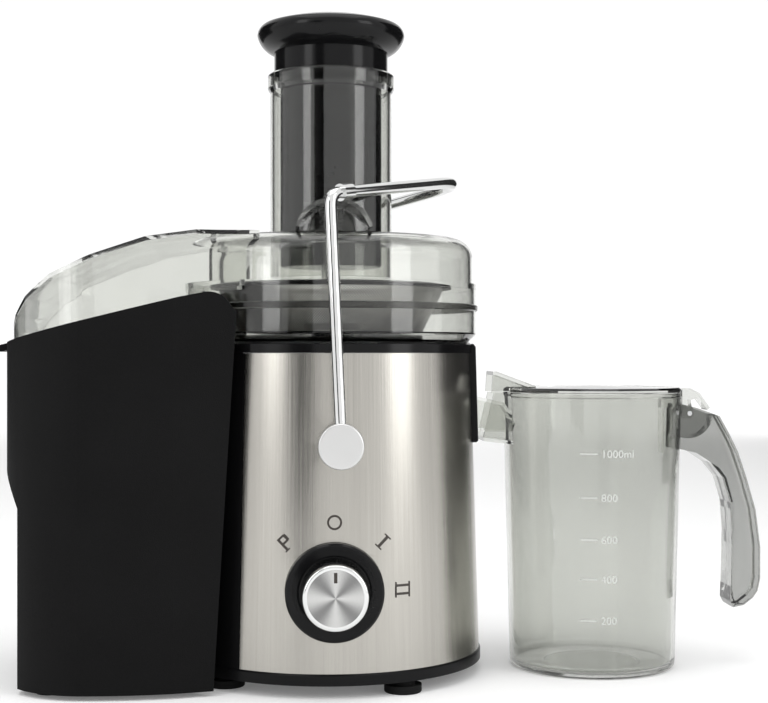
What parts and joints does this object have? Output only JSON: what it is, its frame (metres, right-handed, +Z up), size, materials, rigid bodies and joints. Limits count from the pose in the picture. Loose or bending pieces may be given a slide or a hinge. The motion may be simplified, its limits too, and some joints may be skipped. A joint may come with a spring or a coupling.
{
  "type": "centrifugal juicer",
  "caption": "Centrifugal juicer: steel-clad motor base, clear bowl and hooded lid with feed chute and pusher, locking bail, speed knob, pulp bin and lidded juice jug.",
  "frame": {"origin": "on the table plane, on the axis of the feed chute and the motor", "axes": "+Z up, -Y towards the front with the knob, -X towards the pulp bin, +X towards the spout and the jug"},
  "size_m": [0.4908, 0.2314, 0.427],
  "materials": {
    "steel_brushed": "vertically brushed stainless",
    "black_satin": "satin moulded ABS",
    "black_gloss": "semi-gloss moulded ABS",
    "bin_black": "fine-textured matte",
    "smoke_clear": "smoke-tinted clear plastic",
    "chrome_rod": "polished",
    "satin_silver": "satin silver",
    "spun_face": "spun, circular brushed",
    "foot_rubber": "matte rubber",
    "zinc_steel": "zinc-plated",
    "lamination": "varnished lamination steel",
    "copper_wire": "enamelled copper, brass stands in for copper",
    "carbon": "pressed carbon, plastic stands in",
    "dark_print": "printed mark",
    "pale_print": "raised scale tick",
    "white_nylon": "nylon"
  },
  "bodies": {
    "housing": {"motor_housing": "black_satin", "steel_wrap": "steel_brushed", "side_column": "black_satin", "trim_low": "black_satin", "trim_top": "black_gloss", "base_plate": "black_satin", "feet": "foot_rubber", "foot_screws": "zinc_steel", "spout_panel": "black_satin", "filter_bowl": "smoke_clear", "bowl_spout": "smoke_clear", "bowl_seal": "foot_rubber", "lid": "smoke_clear", "lock_saddle": "smoke_clear", "knob_bezel": "black_gloss", "rotary_switch": "white_nylon", "dial_marks": "dark_print", "pivot_bosses": "black_satin", "pivot_pins": "zinc_steel", "bearings": "zinc_steel", "lower_bracket": "satin_silver", "upper_bracket": "satin_silver", "stator_core": "lamination", "field_coils": "copper_wire", "motor_screws": "zinc_steel", "motor_spacers": "zinc_steel", "motor_dampers": "foot_rubber", "brush_holders": "white_nylon", "carbon_brushes": "carbon", "cord_inlet": "foot_rubber", "terminal_block": "white_nylon"},
    "rotor": {"shaft": "zinc_steel", "armature_core": "lamination", "armature_winding": "copper_wire", "commutator": "copper_wire", "cooling_fan": "black_satin", "drive_coupling": "black_satin", "basket_base": "black_satin", "filter_basket": "steel_brushed", "grater_disc": "steel_brushed", "basket_rim": "black_satin"},
    "pusher": {"pusher_body": "black_gloss", "pusher_cap": "black_gloss"},
    "bail": {"bail_rod": "chrome_rod", "bail_ferrules": "chrome_rod", "bail_caps": "satin_silver"},
    "knob": {"knob": "chrome_rod", "knob_face": "spun_face", "knob_pointer": "dark_print", "knob_spindle": "zinc_steel"},
    "pulp_bin_body": {"pulp_bin": "bin_black", "bin_feet": "foot_rubber"},
    "jug_body": {"jug": "smoke_clear", "jug_handle": "smoke_clear", "froth_separator": "smoke_clear", "jug_hinge_pin": "zinc_steel", "jug_scale": "pale_print"},
    "jug_lid_body": {"jug_lid": "smoke_clear"}
  },
  "joints": [
    {"name": "pusher_slide", "type": "slide", "parent": "housing", "child": "pusher", "axis": [0, 0, 1], "range_m": [0, 0.15]},
    {"name": "rotor_spin", "type": "hinge", "parent": "housing", "child": "rotor", "pos_m": [0, 0, 0.22], "axis": [0, 0, 1], "continuous": true},
    {"name": "bail_swing", "type": "hinge", "parent": "housing", "child": "bail", "pos_m": [0.0035, 0, 0.151], "axis": [0, 1, 0], "range_deg": [0, 46]},
    {"name": "knob_turn", "type": "hinge", "parent": "housing", "child": "knob", "pos_m": [0, -0.1, 0.0636], "axis": [0, 1, 0], "range_deg": [-45, 90]},
    {"name": "pulp_bin_tilt", "type": "hinge", "parent": "housing", "child": "pulp_bin_body", "pos_m": [-0.062, 0, 0.24], "axis": [0, 1, 0], "range_deg": [0, 10]},
    {"name": "jug_slide", "type": "slide", "parent": "housing", "child": "jug_body", "axis": [1, 0, 0], "range_m": [0, 0.2]},
    {"name": "jug_lid_hinge", "type": "hinge", "parent": "jug_body", "child": "jug_lid_body", "pos_m": [0.2355, 0, 0.1663], "axis": [0, 1, 0], "range_deg": [0, 95]}
  ]
}
